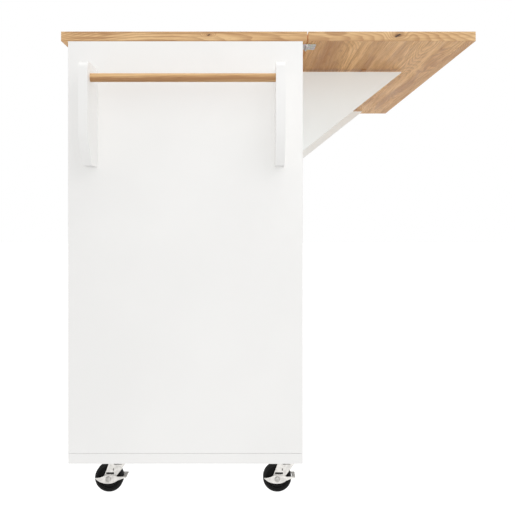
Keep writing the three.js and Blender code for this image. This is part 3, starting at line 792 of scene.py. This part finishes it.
# ------------------------ doors
def add_doors():
    stile, recess, slope_width = 58 * MM, 4 * MM, 5 * MM
    for where in ENDS:
        node, body = f"door_{where}", f"door_{where}"
        low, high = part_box(node)
        door = white_box(node + "_board", low, high, 1.2 * MM, 3, body, [node])
        panel = bmesh.new()
        outer = [(low.y + stile, low.z + stile), (high.y - stile, low.z + stile),
                 (high.y - stile, high.z - stile), (low.y + stile, high.z - stile)]
        centre = Vector(((low.y + high.y) / 2, (low.z + high.z) / 2))
        inner = []
        for y, z in outer:
            inward_y = math.copysign(slope_width, y - centre.x)
            inward_z = math.copysign(slope_width, z - centre.y)
            inner.append((y - inward_y, z - inward_z))
        rings = [
            [panel.verts.new((low.x - MM, y, z)) for y, z in outer],
            [panel.verts.new((low.x, y, z)) for y, z in outer],
            [panel.verts.new((low.x + recess, y, z)) for y, z in inner],
        ]
        panel.faces.new(rings[0])
        panel.faces.new(rings[2])
        for near_ring, far_ring in zip(rings, rings[1:]):
            for i in range(4):
                j = (i + 1) % 4
                panel.faces.new((near_ring[i], near_ring[j], far_ring[j], far_ring[i]))
        carve(door, [loose_object(panel)])
        knob(f"door_knob_{where}_turned", f"door_knob_{where}", body)


def add_shelf_pins():
    low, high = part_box("shelf")
    radius, length = 2.5 * MM, 14 * MM
    inset = 60 * MM
    number = 0
    for wall, axis in ((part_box("side_panel_near")[1].y, "+y"), (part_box("side_panel_far")[0].y, "-y")):
        for x in (low.x + inset, high.x - inset):
            number += 1
            edge, collar = 0.6 * MM, radius * 1.7
            profile = [(0, 0), (collar, 0), (collar, 1 * MM), (radius, 1.2 * MM),
                       (radius, length - edge), (radius - edge, length), (0, length)]
            place = turned(axis, (x, wall, low.z - radius - 0.1 * MM))
            lathed(f"shelf_pin_{number}", profile, place, 24, NICKEL, "cabinet")


# ------------------------ casters
CROWN_THICKNESS = 2.5 * MM
CHEEK_INNER, CHEEK_OUTER = 12 * MM, 14 * MM
BRAKE_INNER, BRAKE_OUTER = 14.3 * MM, 16 * MM
SHANK, SHANK_HOLE = 4 * MM, 4.3 * MM  # the radius of the axle and the kingpin, and of their holes
PEDAL_START, PEDAL_END = 29.4, 36  # mm behind the axle
PEDAL_BOTTOM, PEDAL_TOP = 2.2, 4.8  # mm above the axle


def caster_frame(name):
    """The swivel's centre, the axle's centre, and the wheel's radius and half width."""
    plate_low, plate_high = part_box(f"caster_plate_{name}")
    wheel_low, wheel_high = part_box(f"caster_wheel_{name}")
    swivel = (plate_low + plate_high) / 2
    axle = (wheel_low + wheel_high) / 2
    return swivel, axle, (wheel_high.z - wheel_low.z) / 2, (wheel_high.y - wheel_low.y) / 2


def rounded_rectangle(x0, x1, y0, y1, radius, steps=6):
    points = arc((x1 - radius, y1 - radius), radius, 0, 90, steps)
    points += arc((x0 + radius, y1 - radius), radius, 90, 180, steps)
    points += arc((x0 + radius, y0 + radius), radius, 180, 270, steps)
    points += arc((x1 - radius, y0 + radius), radius, 270, 360, steps)
    return points


def caster_plate(name):
    node = f"caster_plate_{name}"
    low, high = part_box(node)
    swivel = caster_frame(name)[0]
    thickness = 2.2 * MM
    bm = bmesh.new()
    add_prism(bm, rounded_rectangle(low.x, high.x, low.y, high.y, 5 * MM), Z, high.z - thickness, high.z)
    bevel_edges(bm, sharp_edges(bm, 60), 0.4 * MM, 2)
    finish_piece(node + "_flange", bm, ZINC, "cabinet", [node])
    crown_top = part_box(f"caster_fork_{name}")[1].z
    race_bottom = crown_top + 0.3 * MM
    race_top = high.z - thickness
    height = race_top - race_bottom
    profile = [(0, 0), (14.5 * MM, 0), (16.4 * MM, 0.5 * MM), (17 * MM, 1.6 * MM), (16.4 * MM, 2.6 * MM),
               (15 * MM, 3.2 * MM), (15.6 * MM, height - 0.6 * MM), (17 * MM, height), (0, height)]
    place = turned("+z", (swivel.x, swivel.y, race_bottom))
    lathed(node + "_raceway", profile, place, 56, ZINC, "cabinet")
    crown_bottom = crown_top - CROWN_THICKNESS
    head = 1.9 * MM
    profile = [(0, 0), (3.0 * MM, 0), (5.4 * MM, 0.5 * MM), (6.5 * MM, 1.5 * MM), (6.5 * MM, head),
               (SHANK, head), (SHANK, head + 3.4 * MM), (0, head + 3.4 * MM)]
    place = turned("+z", (swivel.x, swivel.y, crown_bottom - 0.3 * MM - head))
    lathed(node + "_kingpin", profile, place, 32, SCREW_STEEL, "cabinet")
    inset = 5.5 * MM
    number = 0
    for x in (low.x + inset, high.x - inset):
        for y in (low.y + inset, high.y - inset):
            number += 1
            screw_head(f"{node}_screw_{number}", "-z", (x, y, high.z - thickness), 3.4 * MM, "cabinet")


def fork_outline(axle, crown_top):
    """One side of the fork seen along Y: down from the crown, round the axle, and back up."""
    x, z = axle.x, axle.z
    outline = [(x + 3.4 * MM, crown_top), (x - 9 * MM, z + 3.3 * MM)]
    outline += arc((x, z), 9.8 * MM, 180 - 20, 360, 14)
    outline += [(x + 15.4 * MM, z + 5 * MM), (x + 27 * MM, z + 20 * MM)]
    outline += [(x + 35 * MM, z + 31.5 * MM), (x + 35 * MM, crown_top)]
    return outline


def caster_fork(name, has_brake):
    node, body = f"caster_fork_{name}", f"fork_{name}"
    swivel, axle = caster_frame(name)[:2]
    crown_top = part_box(node)[1].z
    bm = bmesh.new()
    add_prism(bm, fork_outline(axle, crown_top), Y, axle.y - CHEEK_OUTER, axle.y + CHEEK_OUTER)
    bends = []
    for edge in sharp_edges(bm, 30):
        start, end = (v.co for v in edge.verts)
        if max(abs(start.z - crown_top), abs(end.z - crown_top), abs(start.y - end.y)) < TINY:
            bends.append(edge)
    bevel_edges(bm, bends, 2.2 * MM, 4)
    bevel_edges(bm, sharp_edges(bm, 50), 0.35 * MM, 1)
    fork = finish_piece(node + "_yoke", bm, CASTER_STEEL, body, [node], 35)
    inside = bmesh.new()
    add_box(inside, (axle.x - 60 * MM, axle.y - CHEEK_INNER, axle.z - 60 * MM),
            (axle.x + 60 * MM, axle.y + CHEEK_INNER, crown_top - CROWN_THICKNESS))
    hole = round_cutter(SHANK_HOLE, 0, 10 * MM, turned("+z", (swivel.x, swivel.y, crown_top - 6 * MM)))
    slots = bmesh.new()
    for x0, x1, z0, z1 in ((-4.5, 11.5, 9.3, 12.9), (11.0, 27.0, 28.3, 30.3), (9.6, 11.0, 16.0, 21.0)):
        add_box(slots, (axle.x + x0 * MM, axle.y - 20 * MM, axle.z + z0 * MM),
                (axle.x + x1 * MM, axle.y + 20 * MM, axle.z + z1 * MM))
    carve(fork, [loose_object(inside), hole, loose_object(slots)])
    end = (BRAKE_OUTER if has_brake else CHEEK_OUTER) + 2.2 * MM
    head, tip, reach = 2.0 * MM, 0.6 * MM, 2 * end
    profile = [(0, 0), (2.6 * MM, 0), (4.6 * MM, 0.5 * MM), (5.4 * MM, 1.4 * MM), (5.4 * MM, head),
               (SHANK, head), (SHANK, reach - tip), (SHANK - tip, reach), (0, reach)]
    place = turned("+y", (axle.x, axle.y - end, axle.z))
    lathed(node + "_axle", profile, place, 32, BOLT_STEEL, body)
    nut = bmesh.new()
    outline = arc((axle.x, axle.z), 6.0 * MM, 0, 300, 5)
    add_prism(nut, outline, Y, axle.y + end - 2.1 * MM, axle.y + end - 0.3 * MM)
    bevel_edges(nut, nut.edges[:], BROKEN_EDGE, 1)
    finish_piece(node + "_nut", nut, SCREW_STEEL, body)


def caster_wheel(name):
    node, body = f"caster_wheel_{name}", f"wheel_{name}"
    axle, radius, hub_half = caster_frame(name)[1:]
    half = 9 * MM
    start = turned("+y", (axle.x, axle.y, axle.z))
    tyre_inner = radius - 5.5 * MM
    shoulder, groove = 3.2 * MM, radius - 0.5 * MM
    profile = [(tyre_inner, -half + 1.2 * MM), (tyre_inner + 0.8 * MM, -half + 0.1 * MM),
               (radius - shoulder, -half)]
    profile += [(radius - shoulder + r, -half + shoulder + h)
                for r, h in arc((0, 0), shoulder, 280, 360, 6)]
    profile += [(radius, -2.6 * MM), (groove, -2.2 * MM), (groove, -1.6 * MM), (radius, -1.2 * MM)]
    profile += [(r, -h) for r, h in reversed(profile)]
    profile.append(profile[0])
    lathed(node + "_tread", profile, start, 72, TYRE, body, [node], 50)
    bm = bmesh.new()
    rim = tyre_inner + 0.3 * MM
    side = [(SHANK_HOLE, hub_half), (6.6 * MM, hub_half), (8.4 * MM, hub_half - 1.6 * MM),
            (8.8 * MM, half - 3.4 * MM), (12 * MM, half - 3.8 * MM), (rim - 4.2 * MM, half - 3.4 * MM),
            (rim - 3.2 * MM, half - 1.4 * MM), (rim - 2.6 * MM, half - 0.9 * MM),
            (rim - 0.5 * MM, half - 0.9 * MM), (rim, half - 1.4 * MM)]
    profile = side + [(r, -h) for r, h in reversed(side)] + [side[0]]
    add_lathe(bm, profile, start, 72)
    for i in range(6):
        turn = Matrix.Translation(axle) @ Matrix.Rotation(math.radians(60 * i), 4, "Y")
        spoke_half = half - 1.4 * MM
        verts = add_box(bm, (8.6 * MM, -spoke_half, -0.9 * MM), (rim - 3.4 * MM, spoke_half, 0.9 * MM))
        bmesh.ops.transform(bm, matrix=turn, verts=verts)
    finish_piece(node + "_hub", bm, HUB, body, (), 40)


def brake_outline(axle):
    """The crescent cheek of the brake seen along Y, with the arm that reaches the pedal."""
    x, z = axle.x, axle.z

    def curve(start, control, end, steps):
        points = []
        for i in range(1, steps + 1):
            t = i / steps
            points.append(tuple((1 - t) ** 2 * a + 2 * t * (1 - t) * b + t * t * c
                                for a, b, c in zip(start, control, end)))
        return points

    tip, bottom, right = (-27, 2), (-1, -9.2), (18, -3)
    points = [tip] + curve(tip, (-17, -9), bottom, 8) + curve(bottom, (11, -9), right, 8)
    points += [(PEDAL_START, 1.2), (PEDAL_END, PEDAL_BOTTOM), (PEDAL_END, PEDAL_TOP), (18.5, PEDAL_TOP)]
    points += [(12.5, 7.6), (-6.5, 7.6), (-11.5, 4.6), (-18, 2.6)]
    return [(x + a * MM, z + b * MM) for a, b in points]


def caster_brake(name):
    node, body = f"caster_brake_{name}", f"brake_{name}"
    axle = caster_frame(name)[1]
    for label, side in (("near", -1), ("far", 1)):
        bm = bmesh.new()
        y0, y1 = sorted((side * BRAKE_INNER, side * BRAKE_OUTER))
        add_prism(bm, brake_outline(axle), Y, axle.y + y0, axle.y + y1)
        bevel_edges(bm, sharp_edges(bm, 60), 0.3 * MM, 1)
        replaced = [node] if side < 0 else []
        cheek = finish_piece(f"{node}_cheek_{label}", bm, CASTER_STEEL, body, replaced, 35)
        place = turned("+y", (axle.x, axle.y + y0 - 2 * MM, axle.z))
        hole = round_cutter(SHANK_HOLE, 0, 6 * MM, place)
        dimples = bmesh.new()
        lean = Matrix.Rotation(math.radians(35), 4, "Y")
        for across, up in ((-1.8, -5.6), (4.3, 4.6)):
            verts = add_box(dimples, (-2.2 * MM, -10 * MM, -0.5 * MM), (2.2 * MM, 10 * MM, 0.5 * MM))
            shift = Matrix.Translation(
                (axle.x + across * MM, axle.y + side * (BRAKE_OUTER + 9.5 * MM), axle.z + up * MM)
            )
            bmesh.ops.transform(dimples, matrix=shift @ lean, verts=verts)
        carve(cheek, [hole, loose_object(dimples)])
    x, z = axle.x, axle.z
    bm = bmesh.new()
    outline = [(PEDAL_START, PEDAL_BOTTOM), (PEDAL_END, PEDAL_BOTTOM),
               (PEDAL_END, PEDAL_TOP), (PEDAL_START, PEDAL_TOP)]
    inner = BRAKE_INNER - 0.1 * MM
    add_prism(bm, [(x + a * MM, z + b * MM) for a, b in outline], Y, axle.y - inner, axle.y + inner)
    bevel_edges(bm, bm.edges[:], 0.5 * MM, 2)
    finish_piece(node + "_pedal", bm, CASTER_STEEL, body)
    bm = bmesh.new()
    for i in range(5):
        y = axle.y + (i - 2) * 5.2 * MM
        add_box(bm, (x + 29.9 * MM, y - MM, z + 4.4 * MM), (x + 35.4 * MM, y + MM, z + 5.0 * MM))
    bevel_edges(bm, bm.edges[:], BROKEN_EDGE, 1)
    finish_piece(node + "_grip", bm, CASTER_STEEL, body)


def add_casters():
    for side, end in CASTERS:
        name = f"{side}_{end}"
        has_brake = end == "near"
        caster_plate(name)
        caster_fork(name, has_brake)
        caster_wheel(name)
        if has_brake:
            caster_brake(name)


# ------------------------ studio
def add_studio():
    floor_size = 30.0
    bm = bmesh.new()
    bmesh.ops.create_grid(bm, x_segments=1, y_segments=1, size=floor_size / 2)
    floor = object_from("floor", bm)
    floor.visible_diffuse = False
    paper = Shader("studio_floor", Roughness=0.9, Base_Color=rgb(0.3, 0.3, 0.3))
    grain = paper.noise(paper.place(), 40, 2)
    lit = paper.mix(grain, rgb(1.0, 1.0, 1.0), rgb(0.985, 0.985, 0.985))
    floor.data.materials.append(paper.set(Emission_Color=lit, Emission_Strength=1.0))

    # The backdrop is pure white to the camera, and lights the object a little less.
    world = bpy.data.worlds.new("studio")
    world.use_nodes = True
    tree = world.node_tree
    background = tree.nodes["Background"]
    path = tree.nodes.new("ShaderNodeLightPath")
    strength = tree.nodes.new("ShaderNodeMapRange")
    strength.inputs["To Min"].default_value = 0.66
    strength.inputs["To Max"].default_value = 1.0
    tree.links.new(path.outputs["Is Camera Ray"], strength.inputs["Value"])
    tree.links.new(strength.outputs[0], background.inputs["Strength"])
    background.inputs["Color"].default_value = rgb(1.0, 1.0, 1.0)
    bpy.context.scene.world = world

    def soft_light(name, spot, aim, size, watts):
        data = bpy.data.lights.new(name, "AREA")
        data.shape = "SQUARE"
        data.size = size
        data.energy = watts
        lamp = new_object(name, data)
        lamp.location = spot
        lamp.rotation_euler = (Vector(aim) - Vector(spot)).to_track_quat("-Z", "Y").to_euler()

    soft_light("key", (2.4, -3.9, 2.3), aim=(0, -0.5, 0.5), size=3.2, watts=26)
    soft_light("top", (0.3, -0.4, 3.4), aim=(0, 0, 0), size=2.4, watts=34)

    def fill_light(name, came_from, strength):
        """An even light from one side that casts no shadow."""
        data = bpy.data.lights.new(name, "SUN")
        data.energy = strength * math.pi
        data.angle = math.radians(40)
        data.use_shadow = False
        lamp = new_object(name, data)
        lamp.rotation_euler = (-Vector(came_from)).to_track_quat("-Z", "Y").to_euler()

    fill_light("fill_front", (0.2, -1.0, 0.15), 0.30)
    fill_light("fill_left", (-1.0, 0.1, 0.2), 0.2)
    fill_light("fill_back", (0.6, 0.8, 0.2), 0.14)
    bpy.context.scene.view_settings.view_transform = "Standard"


def add_camera():
    """A level camera that looks along +Y at the towel-rail end."""
    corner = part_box("side_panel_near")[0]
    aside, distance, height = 0.359, 1.454, 0.5464
    data = bpy.data.cameras.new("camera")
    data.sensor_width = 36.0
    data.lens = 52.7
    data.shift_x = 0.0066
    data.shift_y = -0.0748
    camera = new_object("camera", data)
    camera.location = (corner.x + aside, corner.y - distance, height)
    camera.rotation_euler = (math.pi / 2, 0, 0)
    bpy.context.scene.camera = camera


add_camera()
add_carcass()
add_top()
add_towel_rack()
add_leaf_hinges()
add_support_hinges()
add_door_hinges()
add_supports()
add_drawers()
add_doors()
add_shelf_pins()
add_casters()
add_studio()
